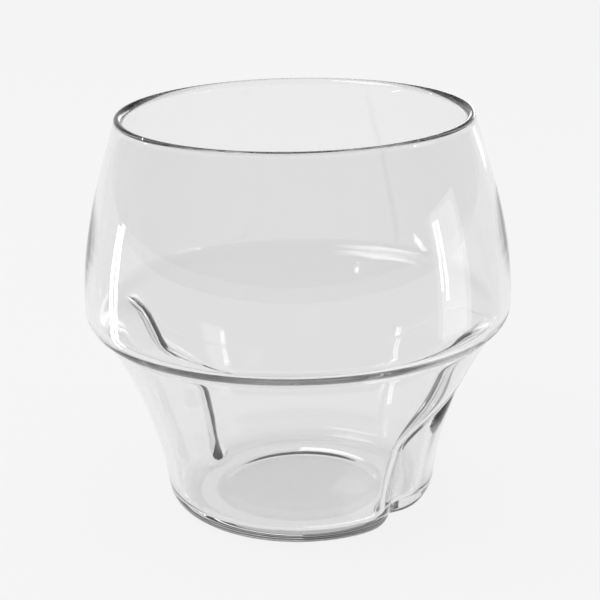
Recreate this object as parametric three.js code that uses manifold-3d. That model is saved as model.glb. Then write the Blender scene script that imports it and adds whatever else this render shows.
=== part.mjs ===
// A clear glass espresso cup without a handle. A round bowl overhangs a flared lower body, and two
// twisted fins are pressed into that body on opposite sides.
// The glass is one wall. It is divided on flat seams into its named sections, which touch face to face.
// Millimetres, +Z up, standing on z = 0 with the axis of the cup on Z. The front of the cup faces -Y.

import * as THREE from "three";
import { ParametricGeometry } from "three/addons/geometries/ParametricGeometry.js";
import { mergeVertices } from "three/addons/utils/BufferGeometryUtils.js";
import Module from "manifold-3d";

const wasm = await Module();
wasm.setup();

// Heights and outside radii
const HEIGHT = 62.4;
const BOWL_RADIUS = 33;
const BOWL_CORNER_HEIGHT = 33.2;
const BOWL_CORNER_RADIUS = 3.4;
const BOWL_CORNER_SWEEP = 66;
const RIM_RADIUS = 27.1;
const FOOT_RADIUS = 17.9;
const HEEL_RADIUS = 3.8;

// How the flared body and the bowl curve between those rings: lean is outward travel per height
const BODY_LEAN_LOW = 0.1;
const BODY_LEAN_HIGH = 0.5;
const BODY_EASE_LOW = 11;
const BODY_EASE_HIGH = 8;
const BOWL_EASE_LOW = 11;
const BOWL_EASE_HIGH = 9;
const RIM_LEAN = 0.31;

// Glass thickness, and the shallow hollow under the foot
const WALL = 1.5;
const FLOOR = 2.4;
const PUNT_RADIUS = 12.3;
const PUNT_FLAT_RADIUS = 9;
const PUNT_DEPTH = 0.5;

// The fins: depth of the fold, where it lies round the cup and how it sweeps back on the way up
const FIN_DEPTH = 3.15;
const FIN_FULL_HEIGHT = 27.2;
const FIN_FOOT_ANGLE = -40;
const FIN_TWIST = 23;
const FIN_TWIST_START = 14.2;
const FIN_TWIST_END = 23.2;
const LEFT_FIN_AHEAD_FOOT = 8.3;
const LEFT_FIN_AHEAD_TOP = 2.4;

// The flanks of a fin, in degrees round the cup: the rear one has a steep core and a shallow tail
const FIN_FRONT_FLANK_FOOT = 10.4;
const FIN_FRONT_FLANK_TOP = 4.6;
const FIN_REAR_FLANK = 8.1;
const FIN_TAIL_FLANK = 38;
const FIN_TAIL_SHARE = 0.27;
const FIN_SECTOR_MARGIN = 9;

// Seams between the sections, as heights of glass above or below the ring that each one follows
const LIP_HEIGHT = 1.8;
const SHOULDER_ABOVE_CORNER = 3;
const SHOULDER_BELOW_CREASE = 3;
const BASE_ABOVE_HEEL = 2.4;

// Facets
const COLUMNS = 72;
const COLUMN_GATHER = 0.28;
const NORMAL_STEP = 0.1 / COLUMNS;
const MERGE_DISTANCE = 1e-4;
const CUTTER_REACH = BOWL_RADIUS * 4;
const STEPS = { punt: 2, foot: 1, heel: 5, body: 16, corner: 5, bowl: 7, lip: 4 };

const GLASS_COLOUR = 0xf1f5f4;

const radians = THREE.MathUtils.degToRad;
const { clamp, lerp, smoothstep } = THREE.MathUtils;

const cornerSweep = radians(BOWL_CORNER_SWEEP);
const creaseHeight = BOWL_CORNER_HEIGHT - BOWL_CORNER_RADIUS * Math.sin(cornerSweep);
const creaseRadius = BOWL_RADIUS - BOWL_CORNER_RADIUS * (1 - Math.cos(cornerSweep));
const heelOutside = FOOT_RADIUS + HEEL_RADIUS;
const lipHeight = HEIGHT - (WALL / 2) * (1 - Math.sin(Math.atan(RIM_LEAN)));

// The outside of the wall as one meridian, from the middle of the foot up to the lip
function outsideCurves() {
  const heelEnd = -Math.atan(BODY_LEAN_LOW);
  const bodyFoot = new THREE.Vector2(
    FOOT_RADIUS + HEEL_RADIUS * Math.cos(heelEnd),
    HEEL_RADIUS + HEEL_RADIUS * Math.sin(heelEnd),
  );
  const meridian = new THREE.Path();
  meridian.moveTo(0, PUNT_DEPTH);
  meridian.quadraticCurveTo(PUNT_FLAT_RADIUS, PUNT_DEPTH, PUNT_RADIUS, 0);
  meridian.lineTo(FOOT_RADIUS, 0);
  meridian.absarc(FOOT_RADIUS, HEEL_RADIUS, HEEL_RADIUS, -Math.PI / 2, heelEnd);
  meridian.bezierCurveTo(
    bodyFoot.x + BODY_LEAN_LOW * BODY_EASE_LOW, bodyFoot.y + BODY_EASE_LOW,
    creaseRadius - BODY_LEAN_HIGH * BODY_EASE_HIGH, creaseHeight - BODY_EASE_HIGH,
    creaseRadius, creaseHeight,
  );
  meridian.absarc(
    BOWL_RADIUS - BOWL_CORNER_RADIUS, BOWL_CORNER_HEIGHT, BOWL_CORNER_RADIUS, -cornerSweep, 0,
  );
  meridian.bezierCurveTo(
    BOWL_RADIUS, BOWL_CORNER_HEIGHT + BOWL_EASE_LOW,
    RIM_RADIUS + RIM_LEAN * BOWL_EASE_HIGH, lipHeight - BOWL_EASE_HIGH,
    RIM_RADIUS, lipHeight,
  );
  return meridian.curves;
}

function outsideMeridian() {
  const steps = [STEPS.punt, STEPS.foot, STEPS.heel, STEPS.body, STEPS.corner, STEPS.bowl];
  return outsideCurves().flatMap((curve, i) => curve.getPoints(steps[i]).slice(i === 0 ? 0 : 1));
}

const meridian = outsideMeridian();

// The height in the lower body as a share: 0 at the foot, 1 at the crease under the bowl
const bodyShare = (height) => clamp(height / creaseHeight, 0, 1);

// The fins rise straight from the foot, then sweep back in an even S
const finSweep = (height) => smoothstep(height, FIN_TWIST_START, FIN_TWIST_END);
const finAngle = (height) => radians(FIN_FOOT_ANGLE + FIN_TWIST * finSweep(height));
const leftFinAhead = (height) => lerp(LEFT_FIN_AHEAD_FOOT, LEFT_FIN_AHEAD_TOP, finSweep(height));
const leftFinAngle = (height) => Math.PI + radians(leftFinAhead(height));

const bell = (side, flank) => Math.exp(-((side / radians(flank)) ** 2));

// The share of a fin's depth at an angle from its line, less than 0 on its front flank
function finShape(height, side) {
  const front = lerp(FIN_FRONT_FLANK_FOOT, FIN_FRONT_FLANK_TOP, bodyShare(height));
  if (side < 0) return bell(side, front);
  return lerp(bell(side, FIN_REAR_FLANK), bell(side, FIN_TAIL_FLANK), FIN_TAIL_SHARE);
}

// How far the wall is pressed in, at a height and at an angle from the right fin's line.
// The fins run out at the crease and under the foot.
function pressedIn(radius, height, angle) {
  const depth = FIN_DEPTH * (1 - smoothstep(height, FIN_FULL_HEIGHT, creaseHeight));
  const reach = clamp((radius - PUNT_RADIUS) / (heelOutside - PUNT_RADIUS), 0, 1);
  const shapes = [0, leftFinAngle(height)].map((line) => {
    const side = Math.atan2(Math.sin(angle - line), Math.cos(angle - line));
    return finShape(height, side);
  });
  return depth * reach * (shapes[0] + shapes[1]);
}

// Columns gather where the fins are, and turn with them
const columnAngle = (share) => Math.PI * 2 * share - COLUMN_GATHER * Math.sin(Math.PI * 4 * share);

function outsidePoint(row, share) {
  const { x: radius, y: height } = meridian[row];
  const angle = columnAngle(share);
  const reach = radius - pressedIn(radius, height, angle);
  const turn = angle + finAngle(height);
  return new THREE.Vector3(reach * Math.cos(turn), reach * Math.sin(turn), height);
}

// The outward normal, from the neighbouring rows and columns
function outsideNormal(row, share) {
  if (row === 0) return new THREE.Vector3(0, 0, -1);
  const above = Math.min(row + 1, meridian.length - 1);
  const up = outsidePoint(above, share).sub(outsidePoint(row - 1, share));
  const round = outsidePoint(row, share + NORMAL_STEP).sub(outsidePoint(row, share - NORMAL_STEP));
  return round.cross(up).normalize();
}

// Thick in the floor, easing to the wall's thickness above the heel
function glassThickness(row) {
  return lerp(FLOOR, WALL, smoothstep(meridian[row].y, 0, HEEL_RADIUS));
}

// The whole surface row by row: up the outside, over the round lip, and down the inside to the floor
const lastOutside = meridian.length - 1;
const surfaceRows = lastOutside * 2 + STEPS.lip;

function surfacePoint(u, v, target) {
  const step = Math.round(v * surfaceRows);
  const overLip = clamp(step - lastOutside, 0, STEPS.lip) / STEPS.lip;
  const row = Math.min(step, surfaceRows - step, lastOutside);
  const normal = outsideNormal(row, u);
  const half = glassThickness(row) / 2;
  const along = normal.clone().multiplyScalar(half * (Math.cos(overLip * Math.PI) - 1));
  target.copy(outsidePoint(row, u)).add(along);
  if (overLip > 0 && overLip < 1) target.z += half * Math.sin(overLip * Math.PI);
}

// A closed geometry as a solid that can be cut
function solid(geometry) {
  const bare = geometry.clone();
  bare.deleteAttribute("normal");
  bare.deleteAttribute("uv");
  const merged = mergeVertices(bare, MERGE_DISTANCE);
  const corners = merged.index.array;
  const triVerts = [];
  for (let i = 0; i < corners.length; i += 3) {
    const [a, b, c] = corners.slice(i, i + 3);
    if (a !== b && b !== c && c !== a) triVerts.push(a, b, c);
  }
  return new wasm.Manifold(new wasm.Mesh({
    numProp: 3,
    vertProperties: new Float32Array(merged.attributes.position.array),
    triVerts: new Uint32Array(triVerts),
  }));
}

function geometryOf(body) {
  const { vertProperties, triVerts } = body.getMesh();
  const geometry = new THREE.BufferGeometry();
  geometry.setAttribute("position", new THREE.BufferAttribute(vertProperties, 3));
  geometry.setIndex(new THREE.BufferAttribute(triVerts, 1));
  geometry.computeVertexNormals();
  return geometry;
}

// A wedge of the space round the axis between two heights and two angles, to cut a section out with
function wedge(low, high, fromAngle, toAngle) {
  const corner = (angle) => new THREE.Vector2(Math.cos(angle), Math.sin(angle)).multiplyScalar(CUTTER_REACH);
  const outline = new THREE.Shape([new THREE.Vector2(0, 0), corner(fromAngle), corner(toAngle)]);
  const block = new THREE.ExtrudeGeometry(outline, { depth: high - low, bevelEnabled: false });
  return solid(block.translate(0, 0, low));
}

// A flat slab of space between two heights, wider than the cup
function slab(low, high) {
  const block = new THREE.BoxGeometry(CUTTER_REACH, CUTTER_REACH, high - low);
  return solid(block.translate(0, 0, (low + high) / 2));
}

const baseSeam = HEEL_RADIUS + BASE_ABOVE_HEEL;
const shoulderSeam = creaseHeight - SHOULDER_BELOW_CREASE;
const bowlSeam = BOWL_CORNER_HEIGHT + SHOULDER_ABOVE_CORNER;
const lipSeam = HEIGHT - LIP_HEIGHT;

// Each fin's section reaches past both of its flanks, from its front at the base to its rear at the top
const finFront = finAngle(baseSeam) - radians(FIN_FRONT_FLANK_FOOT + FIN_SECTOR_MARGIN);
const finRear = finAngle(shoulderSeam) + radians(FIN_REAR_FLANK + FIN_SECTOR_MARGIN);

const glass = solid(new ParametricGeometry(surfacePoint, COLUMNS, surfaceRows));
const bodySector = (from, to) => glass.intersect(wedge(baseSeam, shoulderSeam, from, to));

const sections = {
  rim_lip: glass.intersect(slab(lipSeam, HEIGHT + LIP_HEIGHT)),
  bowl_wall: glass.intersect(slab(bowlSeam, lipSeam)),
  shoulder_ring: glass.intersect(slab(shoulderSeam, bowlSeam)),
  right_fin: bodySector(finFront, finRear),
  back_wall: bodySector(finRear, finFront + Math.PI),
  left_fin: bodySector(finFront + Math.PI, finRear + Math.PI),
  front_wall: bodySector(finRear + Math.PI, finFront + Math.PI * 2),
  base: glass.intersect(slab(-FLOOR, baseSeam)),
};

const cup = new THREE.Group();
for (const [name, section] of Object.entries(sections)) {
  const clearGlass = new THREE.MeshStandardMaterial({
    color: GLASS_COLOUR, roughness: 0.04, metalness: 0, transparent: true, opacity: 0.35,
  });
  const mesh = new THREE.Mesh(geometryOf(section), clearGlass);
  mesh.name = name;
  cup.add(mesh);
}

export default cup;
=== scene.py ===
"""A clear glass espresso cup, dressed for rendering: one continuous blown wall over the cup's sections."""

import math

import bpy
import numpy as np
from mathutils import Matrix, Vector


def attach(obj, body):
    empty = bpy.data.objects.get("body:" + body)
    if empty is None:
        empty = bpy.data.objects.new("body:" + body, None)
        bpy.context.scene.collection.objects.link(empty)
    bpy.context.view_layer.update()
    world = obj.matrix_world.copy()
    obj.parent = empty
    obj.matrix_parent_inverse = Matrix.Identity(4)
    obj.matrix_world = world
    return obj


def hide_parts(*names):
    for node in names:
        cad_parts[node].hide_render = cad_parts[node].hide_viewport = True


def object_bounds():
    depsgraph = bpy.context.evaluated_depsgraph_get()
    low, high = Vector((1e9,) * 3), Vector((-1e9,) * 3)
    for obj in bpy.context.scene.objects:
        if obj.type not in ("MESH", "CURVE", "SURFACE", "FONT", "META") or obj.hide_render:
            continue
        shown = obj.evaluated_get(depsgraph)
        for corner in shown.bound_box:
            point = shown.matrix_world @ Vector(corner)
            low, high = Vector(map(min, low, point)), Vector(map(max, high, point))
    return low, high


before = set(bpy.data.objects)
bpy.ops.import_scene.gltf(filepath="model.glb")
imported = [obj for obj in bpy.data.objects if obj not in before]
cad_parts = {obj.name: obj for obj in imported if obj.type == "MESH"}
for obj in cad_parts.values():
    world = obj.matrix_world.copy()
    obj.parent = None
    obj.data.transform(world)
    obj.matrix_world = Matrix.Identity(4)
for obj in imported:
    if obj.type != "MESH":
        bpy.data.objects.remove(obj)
cad_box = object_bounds()

MM = 0.001

# The cup in millimetres. Height and bowl radius are read off the frame.
HEIGHT = cad_box[1].z / MM
BOWL_RADIUS = cad_box[1].x / MM
BOWL_CORNER_HEIGHT = 33.2
BOWL_CORNER_RADIUS = 3.4
BOWL_CORNER_SWEEP = math.radians(66)
RIM_RADIUS = 27.1
FOOT_RADIUS = 17.9
HEEL_RADIUS = 3.8
BODY_LEAN_LOW = 0.1
BODY_LEAN_HIGH = 0.5
BODY_EASE_LOW = 11.0
BODY_EASE_HIGH = 8.0
BOWL_EASE_LOW = 11.0
BOWL_EASE_HIGH = 9.0
RIM_LEAN = 0.31
WALL = 1.5
FLOOR = 2.4
PUNT_RADIUS = 12.3
PUNT_FLAT_RADIUS = 11.4
PUNT_DEPTH = 0.5
SOFTENING = 0.45

# The blown wall thins a little on its inside below the fire-polished lip
THINNING = 0.24
THINNEST_BELOW_LIP = 11.0
THINNING_SPREAD = 8.5

# The two fins, in millimetres and degrees. Pairs are for the foot and for the top.
FIN_DEPTH = 3.15
FIN_FULL_HEIGHT = 27.2
FIN_FOOT_ANGLE = -40.0
FIN_TWIST = 23.0
FIN_TWIST_START = 14.2
FIN_TWIST_END = 23.2
LEFT_FIN_AHEAD = (8.3, 2.4)
FIN_FRONT_FLANK = (10.4, 4.6)
FIN_REAR_FLANK = 8.1
FIN_TAIL_FLANK = 38.0
FIN_TAIL_SHARE = 0.27

# How finely the glass is meshed
COLUMNS = 280
COLUMN_GATHER = 0.28
OUTSIDE_ROWS = 160
LIP_ROWS = 16
ROW_LENGTH = 1.0
ROW_BEND = math.radians(4)
ARC_POINTS = 24
CURVE_POINTS = 80
BELL_STEPS = 6
BELL_REACH = 18

CREASE_HEIGHT = BOWL_CORNER_HEIGHT - BOWL_CORNER_RADIUS * math.sin(BOWL_CORNER_SWEEP)
CREASE_RADIUS = BOWL_RADIUS - BOWL_CORNER_RADIUS * (1 - math.cos(BOWL_CORNER_SWEEP))
HEEL_OUTSIDE = FOOT_RADIUS + HEEL_RADIUS
LIP_HEIGHT = HEIGHT - WALL / 2 * (1 - math.sin(math.atan(RIM_LEAN)))


def linear(hex_colour):
    """An sRGB hex colour as linear RGBA."""
    srgb = np.array([int(hex_colour[i:i + 2], 16) for i in (1, 3, 5)]) / 255
    rgb = np.where(srgb <= 0.04045, srgb / 12.92, ((srgb + 0.055) / 1.055) ** 2.4)
    return (*rgb.tolist(), 1.0)


def add_node(tree, kind, links=None, **settings):
    """Adds one shader node. Settings name its input sockets or, failing that, its properties;
    links give the output socket that feeds each named or numbered input."""
    node = tree.nodes.new(kind)
    sockets = {socket.name.lower().replace(" ", "_"): socket for socket in reversed(node.inputs)}
    for name, value in settings.items():
        if name in sockets:
            sockets[name].default_value = value
        else:
            setattr(node, name, value)
    for name, source in (links or {}).items():
        tree.links.new(source, node.inputs[name])
    return node


def smoothstep(x):
    """0 below 0, 1 above 1, and an even S between."""
    x = np.clip(x, 0, 1)
    return x * x * (3 - 2 * x)


def arc(centre, radius, start, end, count):
    """Points round a circle between two angles."""
    angle = np.linspace(start, end, count)[:, None]
    return np.array(centre) + radius * np.hstack([np.cos(angle), np.sin(angle)])


def bezier(points, count):
    """Points on a Bezier curve of any degree, by its Bernstein polynomials."""
    points = np.array(points, float)
    degree = len(points) - 1
    t = np.linspace(0, 1, count)[:, None]
    terms = [math.comb(degree, k) * (1 - t) ** (degree - k) * t ** k * points[k] for k in range(degree + 1)]
    return np.sum(terms, axis=0)


def soften(points, spread):
    """A polyline resampled evenly and averaged over a bell curve of that spread, with its ends kept,
    as glass flows round in a corner."""
    step = spread / BELL_STEPS
    length = np.concatenate([[0], np.cumsum(np.hypot(*np.diff(points, axis=0).T))])
    even = np.linspace(0, length[-1], int(length[-1] / step))
    points = np.stack([np.interp(even, length, points[:, k]) for k in (0, 1)], 1)
    reach = np.arange(-BELL_REACH, BELL_REACH + 1)
    weights = np.exp(-0.5 * (reach * step / spread) ** 2)
    weights /= weights.sum()
    before = 2 * points[0] - points[BELL_REACH:0:-1]
    after = 2 * points[-1] - points[-2:-2 - BELL_REACH:-1]
    padded = np.concatenate([before, points, after])
    return np.stack([np.convolve(padded[:, k], weights, "valid") for k in (0, 1)], 1)


def rows_by_bend(points, count):
    """Picks rows along a polyline, closer together where it bends: equal shares of length and turning."""
    step = np.diff(points, axis=0)
    heading = np.unwrap(np.arctan2(step[:, 1], step[:, 0]))
    turning = np.concatenate([[0], np.abs(np.diff(heading))])
    share = np.concatenate([[0], np.cumsum(np.hypot(*step.T) / ROW_LENGTH + turning / ROW_BEND)])
    even = np.linspace(0, share[-1], count)
    return np.stack([np.interp(even, share, points[:, k]) for k in (0, 1)], 1)


def outside_meridian():
    """The outside of the wall from the middle of the foot to the lip, as radius and height: a shallow
    hollow, the standing ring, the heel's arc, the flared body, the bowl's corner arc and the bowl."""
    lean = -math.atan(BODY_LEAN_LOW)
    heel = arc((FOOT_RADIUS, HEEL_RADIUS), HEEL_RADIUS, -math.pi / 2, lean, ARC_POINTS)
    foot = heel[-1]
    body = [foot, foot + BODY_EASE_LOW * np.array([BODY_LEAN_LOW, 1]),
            (CREASE_RADIUS - BODY_LEAN_HIGH * BODY_EASE_HIGH, CREASE_HEIGHT - BODY_EASE_HIGH),
            (CREASE_RADIUS, CREASE_HEIGHT)]
    corner = arc((BOWL_RADIUS - BOWL_CORNER_RADIUS, BOWL_CORNER_HEIGHT), BOWL_CORNER_RADIUS,
                 -BOWL_CORNER_SWEEP, 0, ARC_POINTS)
    bowl = [corner[-1], corner[-1] + (0, BOWL_EASE_LOW),
            (RIM_RADIUS + RIM_LEAN * BOWL_EASE_HIGH, LIP_HEIGHT - BOWL_EASE_HIGH), (RIM_RADIUS, LIP_HEIGHT)]
    punt = bezier([(0, PUNT_DEPTH), (PUNT_FLAT_RADIUS, PUNT_DEPTH), (PUNT_RADIUS, 0)], ARC_POINTS)
    whole = np.concatenate([punt, heel, bezier(body, CURVE_POINTS)[1:], corner[1:],
                            bezier(bowl, CURVE_POINTS)[1:]])
    return rows_by_bend(soften(whole, SOFTENING), OUTSIDE_ROWS)


def thinning(height):
    """How much thinner the wall is below the lip: a bell curve of the height."""
    return THINNING * np.exp(-((LIP_HEIGHT - THINNEST_BELOW_LIP - height) / THINNING_SPREAD) ** 2)


def between(pair, share):
    """A value that runs from the first of a pair to the second."""
    return pair[0] + (pair[1] - pair[0]) * share


def pressed_in(radius, height, angle):
    """How far the wall is pressed in: for each of the two fins a bell curve of the angle from the fin's
    own line, with a steep front flank and a rear flank that has a steep core and a long shallow tail.
    It runs out at the crease and under the foot."""
    share = np.clip(height / CREASE_HEIGHT, 0, 1)
    front, rear = np.radians(between(FIN_FRONT_FLANK, share)), math.radians(FIN_REAR_FLANK)
    fade = smoothstep((CREASE_HEIGHT - height) / (CREASE_HEIGHT - FIN_FULL_HEIGHT))
    depth = FIN_DEPTH * fade
    reach = np.clip((radius - PUNT_RADIUS) / (HEEL_OUTSIDE - PUNT_RADIUS), 0, 1)
    fins = 0
    for place_round in (0, math.pi + np.radians(between(LEFT_FIN_AHEAD, fin_sweep(height)))):
        side = np.arctan2(np.sin(angle - place_round), np.cos(angle - place_round))
        core, tail = np.exp(-(side / rear) ** 2), np.exp(-(side / math.radians(FIN_TAIL_FLANK)) ** 2)
        fins = fins + np.where(side < 0, np.exp(-(side / front) ** 2), between((core, tail), FIN_TAIL_SHARE))
    return depth * reach * fins


def fin_sweep(height):
    """How far the fins have swept back: none up from the foot, then an even S to 1."""
    return smoothstep((height - FIN_TWIST_START) / (FIN_TWIST_END - FIN_TWIST_START))


def fin_angle(height):
    """Where the right fin lies round the cup."""
    return np.radians(FIN_FOOT_ANGLE + FIN_TWIST * fin_sweep(height))


def wall_surface():
    """The whole glass as a grid of rows by columns: each outside point is the meridian turned round the
    axis and pressed in at the fins, each inside point lies one glass thickness along the inward normal,
    and between them the lip is half a circle. Returns points of shape (rows, columns, 3)."""
    meridian = outside_meridian()
    radius, height = meridian[:, :1], meridian[:, 1:]
    share = np.arange(COLUMNS)[None] / COLUMNS
    angle = 2 * math.pi * share - COLUMN_GATHER * np.sin(4 * math.pi * share)
    reach = radius - pressed_in(radius, height, angle)
    turn = angle + fin_angle(height)
    level = np.broadcast_to(height, reach.shape)
    outside = np.stack([reach * np.cos(turn), reach * np.sin(turn), level], -1)
    upward = np.gradient(outside, axis=0)
    onward = np.roll(outside, -1, 1) - np.roll(outside, 1, 1)
    normal = np.cross(onward, upward)
    normal[0] = (0, 0, -1)
    normal /= np.linalg.norm(normal, axis=-1, keepdims=True)
    thickness = FLOOR + (WALL - FLOOR) * smoothstep(height / HEEL_RADIUS) - thinning(height)
    inside = outside - thickness[..., None] * normal
    over = np.linspace(0, math.pi, LIP_ROWS)[1:-1, None, None]
    half = thickness[-1, 0] / 2
    lip = outside[-1] + half * (np.cos(over) - 1) * normal[-1] + half * np.sin(over) * np.array([0, 0, 1.0])
    return np.concatenate([outside, lip, inside[::-1]])


def closed_grid_mesh(name, grid):
    """A mesh of a grid that closes round its columns, with its first and last row each drawn to a point."""
    rows, columns, _ = grid.shape
    points = np.concatenate([grid[0, :1], grid[1:-1].reshape(-1, 3), grid[-1, :1]]) * MM
    ring = 1 + np.arange((rows - 2) * columns).reshape(rows - 2, columns)
    beside = np.roll(ring, -1, 1)
    quads = np.stack([ring[:-1], beside[:-1], beside[1:], ring[1:]], -1).reshape(-1, 4)
    last = len(points) - 1
    bottom = np.stack([np.zeros(columns, int), beside[0], ring[0]], -1)
    top = np.stack([np.full(columns, last), ring[-1], beside[-1]], -1)
    mesh = bpy.data.meshes.new(name)
    mesh.from_pydata(points.tolist(), [], quads.tolist() + bottom.tolist() + top.tolist())
    mesh.polygons.foreach_set("use_smooth", np.ones(len(mesh.polygons), bool))
    mesh.update()
    return mesh


def place(name, data):
    """An object at the origin, linked into the scene."""
    thing = bpy.data.objects.new(name, data)
    bpy.context.scene.collection.objects.link(thing)
    return thing


# Clear borosilicate, blown in a mould and fire-polished: colourless, very smooth, with the faint slow
# waviness that a mould leaves, which bends reflections a little. It absorbs a little on long paths, which
# greys its edges. Absorption is per millimetre, and the waves are in millimetres.
GLASS_IOR = 1.474
GLASS_TINT = "#F9F9F9"
GLASS_ABSORPTION = 0.017
WAVE_SIZE = 9.0
WAVE_HEIGHT = 0.012
GLASS_TURNS = 32


def clear_borosilicate():
    """Smooth clear glass with faint waves."""
    material = bpy.data.materials.new("clear_borosilicate_blown")
    material.use_nodes = True
    tree = material.node_tree
    tree.nodes.clear()
    place_on = add_node(tree, "ShaderNodeTexCoord")
    waves = add_node(tree, "ShaderNodeTexNoise", {"Vector": place_on.outputs["Object"]},
                     scale=1 / (WAVE_SIZE * MM), detail=1.0, roughness=0.4)
    bump = add_node(tree, "ShaderNodeBump", {"Height": waves.outputs["Fac"]},
                    strength=1.0, distance=WAVE_HEIGHT * MM)
    glass = add_node(tree, "ShaderNodeBsdfPrincipled", {"Normal": bump.outputs["Normal"]},
                     base_color=linear(GLASS_TINT), roughness=0.0, ior=GLASS_IOR, transmission_weight=1.0)
    body = add_node(tree, "ShaderNodeVolumeAbsorption", color=linear("#000000"),
                    density=GLASS_ABSORPTION / MM)
    add_node(tree, "ShaderNodeOutputMaterial", {"Surface": glass.outputs["BSDF"], "Volume": body.outputs[0]})
    return material


def make_cup():
    """The whole cup as one piece of glass, over all the sections of the frame."""
    cup = place("blown_glass_cup", closed_grid_mesh("blown_glass_cup", wall_surface()))
    cup.data.materials.append(clear_borosilicate())
    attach(cup, "root")
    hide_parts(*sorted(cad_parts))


# The studio: a pale paper floor, matt and even, a dim room, and soft lamps. The room brightens towards the
# back and darkens upwards, between these parts of a unit direction.
PAPER = "#F7F7F7"
FLOOR_HALF = 4.0
FLOOR_FLAT_SHARE = 0.94
ROOM_FRONT = "#282828"
ROOM_BACK = "#EAEAEA"
ROOM_BACK_SPAN = (-0.4, 1.0)
ROOM_HIGH_SPAN = (0.5, 0.1)


def make_floor():
    """A square of pale paper. What is seen of it is mostly its own flat colour, and the rest is lit, so
    that it keeps the cup's soft shadow."""
    corners = [(-FLOOR_HALF, -FLOOR_HALF, 0), (FLOOR_HALF, -FLOOR_HALF, 0),
               (FLOOR_HALF, FLOOR_HALF, 0), (-FLOOR_HALF, FLOOR_HALF, 0)]
    mesh = bpy.data.meshes.new("paper_floor")
    mesh.from_pydata(corners, [], [(0, 1, 2, 3)])
    floor = place("paper_floor", mesh)
    material = bpy.data.materials.new("pale_paper")
    material.use_nodes = True
    tree = material.node_tree
    tree.nodes.clear()
    lit = add_node(tree, "ShaderNodeBsdfDiffuse", color=linear(PAPER))
    flat = add_node(tree, "ShaderNodeEmission", color=linear(PAPER), strength=1.0)
    path = add_node(tree, "ShaderNodeLightPath")
    seen = add_node(tree, "ShaderNodeMath",
                    {0: path.outputs["Is Camera Ray"], 1: path.outputs["Is Glossy Ray"]},
                    operation="MAXIMUM")
    seen = add_node(tree, "ShaderNodeMath", {0: seen.outputs[0], 1: path.outputs["Is Transmission Ray"]},
                    operation="MAXIMUM")
    share = add_node(tree, "ShaderNodeMath", {0: seen.outputs[0]}, operation="MULTIPLY")
    share.inputs[1].default_value = FLOOR_FLAT_SHARE
    paper = add_node(tree, "ShaderNodeMixShader",
                     {0: share.outputs[0], 1: lit.outputs[0], 2: flat.outputs[0]})
    add_node(tree, "ShaderNodeOutputMaterial", {"Surface": paper.outputs[0]})
    mesh.materials.append(material)


def make_room():
    """Surroundings that glow low down behind the cup and are dark in front and above."""
    world = bpy.data.worlds.new("dim_room")
    bpy.context.scene.world = world
    world.use_nodes = True
    tree = world.node_tree
    tree.nodes.clear()
    toward = add_node(tree, "ShaderNodeTexCoord")
    axes = add_node(tree, "ShaderNodeSeparateXYZ", {"Vector": toward.outputs["Generated"]})
    back, low = [
        add_node(tree, "ShaderNodeMapRange", {"Value": axes.outputs[axis]}, interpolation_type="SMOOTHSTEP",
                 from_min=span[0], from_max=span[1], to_min=0.0, to_max=1.0)
        for axis, span in (("Y", ROOM_BACK_SPAN), ("Z", ROOM_HIGH_SPAN))]
    glow = add_node(tree, "ShaderNodeMath", {0: back.outputs[0], 1: low.outputs[0]}, operation="MULTIPLY")
    front_wall = add_node(tree, "ShaderNodeBackground", color=linear(ROOM_FRONT), strength=1.0)
    back_wall = add_node(tree, "ShaderNodeBackground", color=linear(ROOM_BACK), strength=1.0)
    room = add_node(tree, "ShaderNodeMixShader",
                    {0: glow.outputs[0], 1: front_wall.outputs[0], 2: back_wall.outputs[0]})
    add_node(tree, "ShaderNodeOutputWorld", {"Surface": room.outputs[0]})


def softbox(name, azimuth, elevation, distance, width, height, radiance):
    """A flat lamp that faces the cup. Azimuth is degrees to the right of the camera's side, seen from above;
    radiance is what a ray that meets the lamp sees."""
    a, e = math.radians(azimuth), math.radians(elevation)
    away = np.array([math.sin(a) * math.cos(e), -math.cos(a) * math.cos(e), math.sin(e)])
    lamp = bpy.data.lights.new(name, "AREA")
    lamp.shape = "RECTANGLE"
    lamp.size, lamp.size_y = width, height
    lamp.energy = radiance * math.pi * width * height
    across = np.cross((0, 0, 1), away)
    across /= np.linalg.norm(across)
    turn = np.eye(4)
    turn[:3, 0], turn[:3, 1], turn[:3, 2] = across, np.cross(away, across), away
    turn[:3, 3] = away * distance + (0, 0, HEIGHT * MM / 2)
    thing = place(name, lamp)
    thing.matrix_world = Matrix(turn.tolist())
    thing.visible_camera = False
    return thing


# Each lamp's azimuth and elevation in degrees, distance, width and height in metres, and radiance
FLOOR_LAMP = (0, 89, 1.2, 1.2, 1.2, 1.7)
KEY_LAMP = (-75, 55, 0.9, 0.5, 0.5, 4.0)
HIGHLIGHT_LAMPS = {
    "left_near_strip": (-94, -5, 0.08, 0.004, 0.05, 8.0),
    "right_near_panel": (77, 3, 0.10, 0.035, 0.055, 1.2),
    "right_near_strip": (70, 8, 0.095, 0.003, 0.03, 7.0),
    "right_rear_softbox": (165, 6, 0.8, 0.43, 0.2, 2.0),
}
SPARKLE_LAMPS = {
    "small_front_lamp": (-44, 34, 0.6, 0.012, 0.012, 300.0),
    "small_right_lamp": (76, 34, 0.6, 0.012, 0.012, 300.0),
    "small_rear_lamp": (-120, 30, 0.6, 0.012, 0.012, 300.0),
}


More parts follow.
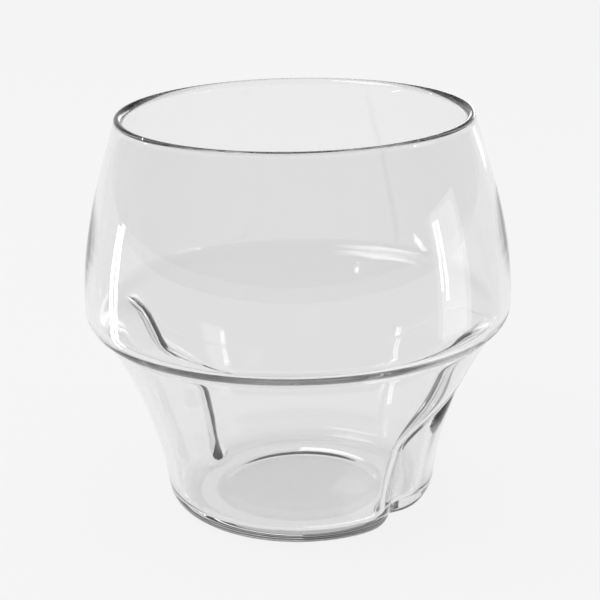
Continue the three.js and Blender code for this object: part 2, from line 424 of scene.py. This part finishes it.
def make_lamps():
    """A key lamp, an overhead lamp for the floor alone, lamps beside and behind the cup that show only as
    highlights in the glass, and small lamps for sparkles."""
    softbox("key_softbox", *KEY_LAMP)
    top = softbox("top_softbox", *FLOOR_LAMP)
    top.visible_glossy = top.visible_transmission = False
    for name, numbers in HIGHLIGHT_LAMPS.items():
        softbox(name, *numbers).visible_diffuse = False
    for name, numbers in SPARKLE_LAMPS.items():
        softbox(name, *numbers)


# The camera, from the photograph: its place in millimetres, its tilt, and its focal length in pixels
CAMERA_BACK = 225.0
CAMERA_HEIGHT = 109.3
CAMERA_PITCH = 0.3294
CAMERA_ROLL = 0.0195
CAMERA_YAW = 0.0013
FOCAL_PIXELS = 1520.0
PICTURE_PIXELS = 600
SENSOR = 36.0
NEAREST_SEEN = 0.01


def make_camera():
    """The photograph's camera: turned by its yaw, tilted down by its pitch, then rolled about its view."""
    lens = bpy.data.cameras.new("camera")
    lens.sensor_width = SENSOR
    lens.lens = FOCAL_PIXELS / PICTURE_PIXELS * SENSOR
    lens.clip_start = NEAREST_SEEN
    camera = place("camera", lens)
    across = np.array([math.cos(CAMERA_YAW), -math.sin(CAMERA_YAW), 0])
    ahead = np.array([math.sin(CAMERA_YAW), math.cos(CAMERA_YAW), 0])
    up = np.array([0, 0, 1.0])
    view = ahead * math.cos(CAMERA_PITCH) - up * math.sin(CAMERA_PITCH)
    above = ahead * math.sin(CAMERA_PITCH) + up * math.cos(CAMERA_PITCH)
    turn = np.eye(4)
    turn[:3, 0] = across * math.cos(CAMERA_ROLL) - above * math.sin(CAMERA_ROLL)
    turn[:3, 1] = across * math.sin(CAMERA_ROLL) + above * math.cos(CAMERA_ROLL)
    turn[:3, 2] = -view
    turn[:3, 3] = np.array([0, -CAMERA_BACK, CAMERA_HEIGHT]) * MM
    camera.matrix_world = Matrix(turn.tolist())
    bpy.context.scene.camera = camera


make_cup()
make_floor()
make_room()
make_lamps()
make_camera()
bpy.context.scene.view_settings.view_transform = "Standard"
# Light that enters the edge of clear glass turns many times inside it before it leaves.
light_paths = bpy.context.scene.cycles
light_paths.max_bounces = light_paths.glossy_bounces = light_paths.transmission_bounces = GLASS_TURNS
